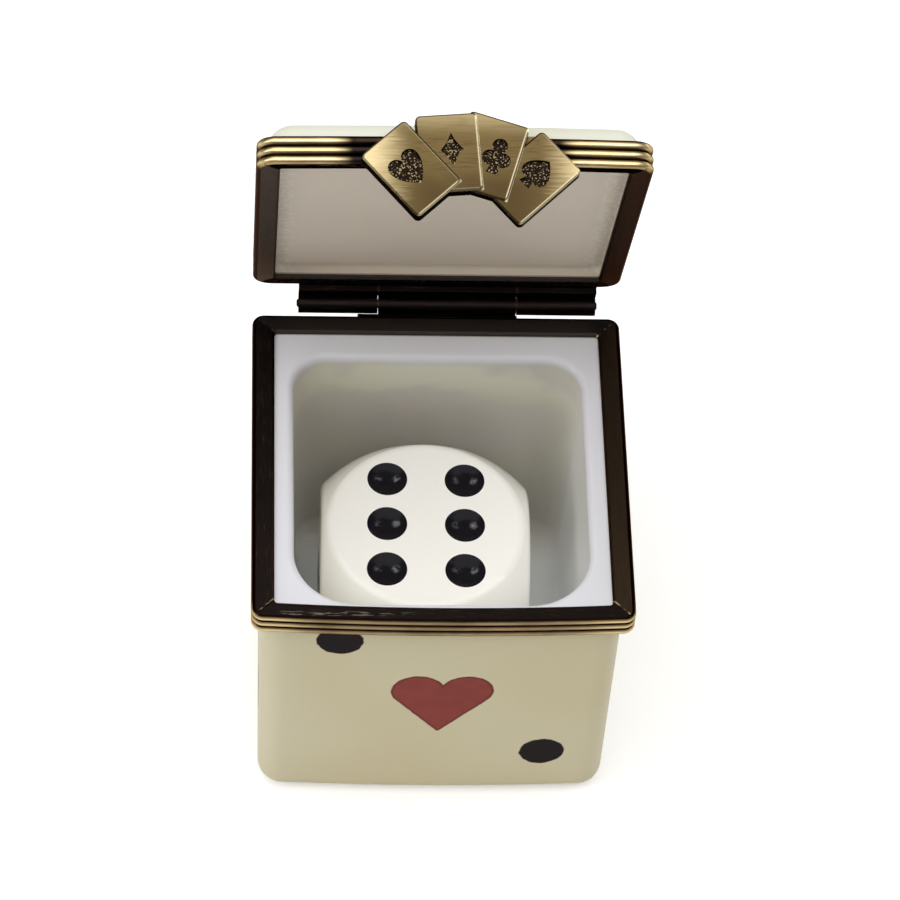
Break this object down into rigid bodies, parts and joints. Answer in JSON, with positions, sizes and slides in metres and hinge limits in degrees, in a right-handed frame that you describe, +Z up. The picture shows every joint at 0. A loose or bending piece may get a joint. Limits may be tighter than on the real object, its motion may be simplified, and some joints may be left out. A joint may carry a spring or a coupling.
{
  "type": "dice box",
  "caption": "Small square porcelain keepsake box shaped like a playing die, with a hinged lid, beaded brass rims, a card-fan clasp and a loose die inside.",
  "frame": {"origin": "middle of the flat underside that the box stands on", "axes": "+Z up; the clasp side faces -Y and the hinge is on the +Y side; +X to the right seen from the clasp side"},
  "size_m": [0.0328, 0.0381, 0.0639],
  "materials": {
    "porcelain": "glossy cream glaze with painted suits and pips",
    "antique_brass": "brushed and patinated",
    "dark_brass": "dark patina, worn bright at the edges",
    "cement": "matte setting cement",
    "die_plastic": "warm white with black recessed pips"
  },
  "bodies": {
    "base": {"porcelain_base": "porcelain", "base_mount": "antique_brass", "base_cement": "cement", "hinge_center_knuckle": "dark_brass"},
    "lid": {"porcelain_lid": "porcelain", "lid_mount": "antique_brass", "lid_cement": "cement", "hinge_left_knuckle": "dark_brass", "hinge_right_knuckle": "dark_brass", "hinge_pin": "dark_brass", "card_fan_clasp": "antique_brass", "clasp_catch": "antique_brass"},
    "die": {"die": "die_plastic"}
  },
  "joints": [
    {"name": "lid_hinge", "type": "hinge", "parent": "base", "child": "lid", "pos_m": [0, 0.01841, 0.02829], "axis": [-1, 0, 0], "range_deg": [-69.5, 35.5]},
    {"name": "die_lift", "type": "slide", "parent": "base", "child": "die", "axis": [0, 0, 1], "range_m": [0, 0.008]}
  ]
}
